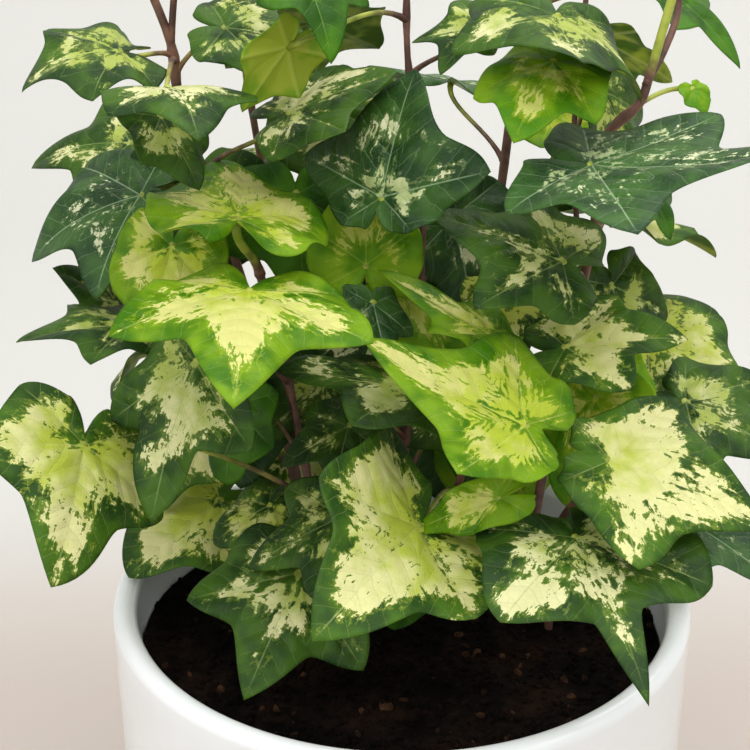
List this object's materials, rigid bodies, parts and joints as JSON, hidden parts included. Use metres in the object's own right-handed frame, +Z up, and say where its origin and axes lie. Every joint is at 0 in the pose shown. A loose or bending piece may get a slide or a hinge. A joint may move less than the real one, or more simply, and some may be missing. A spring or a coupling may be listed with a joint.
{
  "type": "potted ivy plant",
  "caption": "Variegated ivy with cream-splashed lobed leaves on thin red-brown stems, in a plain white glazed round pot of dark soil.",
  "frame": {"origin": "centre of the pot's flat foot, on the surface it stands on", "axes": "+Z up along the pot's axis, +X to the right seen from the front, +Y away from the front"},
  "size_m": [0.173, 0.1806, 0.2731],
  "materials": {
    "white_glaze": "satin white glaze",
    "potting_soil": "loose dark potting soil",
    "stem_skin": "smooth red-brown young bark",
    "leaf_green": "waxy dark green leaf with cream patches",
    "leaf_lime": "soft lime green young leaf with yellow patches"
  },
  "bodies": {
    "root": {"leaf_back_1": "leaf_green", "leaf_back_2": "leaf_green", "leaf_back_3": "leaf_green", "leaf_back_4": "leaf_green", "leaf_back_5": "leaf_green", "leaf_front_1": "leaf_lime", "leaf_front_10": "leaf_green", "leaf_front_11": "leaf_green", "leaf_front_12": "leaf_green", "leaf_front_2": "leaf_lime", "leaf_front_3": "leaf_green", "leaf_front_4": "leaf_green", "leaf_front_5": "leaf_green", "leaf_front_6": "leaf_green", "leaf_front_7": "leaf_green", "leaf_front_8": "leaf_green", "leaf_front_9": "leaf_lime", "leaf_left_1": "leaf_green", "leaf_left_10": "leaf_green", "leaf_left_2": "leaf_lime", "leaf_left_3": "leaf_green", "leaf_left_4": "leaf_lime", "leaf_left_5": "leaf_green", "leaf_left_6": "leaf_green", "leaf_left_7": "leaf_green", "leaf_left_8": "leaf_green", "leaf_left_9": "leaf_green", "leaf_right_1": "leaf_green", "leaf_right_2": "leaf_green", "leaf_right_3": "leaf_green", "leaf_right_4": "leaf_green", "leaf_right_5": "leaf_green", "leaf_right_6": "leaf_green", "leaf_right_7": "leaf_green", "leaf_right_8": "leaf_lime", "leaf_top_1": "leaf_green", "leaf_top_10": "leaf_green", "leaf_top_11": "leaf_lime", "leaf_top_12": "leaf_green", "leaf_top_13": "leaf_lime", "leaf_top_2": "leaf_green", "leaf_top_3": "leaf_green", "leaf_top_4": "leaf_green", "leaf_top_5": "leaf_green", "leaf_top_6": "leaf_lime", "leaf_top_7": "leaf_green", "leaf_top_8": "leaf_green", "leaf_top_9": "leaf_lime", "pot": "white_glaze", "soil": "potting_soil", "stem_back_left": "stem_skin", "stem_back_right": "stem_skin", "stem_centre_front": "stem_skin", "stem_left_front": "stem_skin", "stem_left_tall": "stem_skin", "stem_right_front": "stem_skin", "stem_right_tall": "stem_skin", "stem_right_thin": "stem_skin", "stem_top_centre": "stem_skin"}
  },
  "joints": []
}
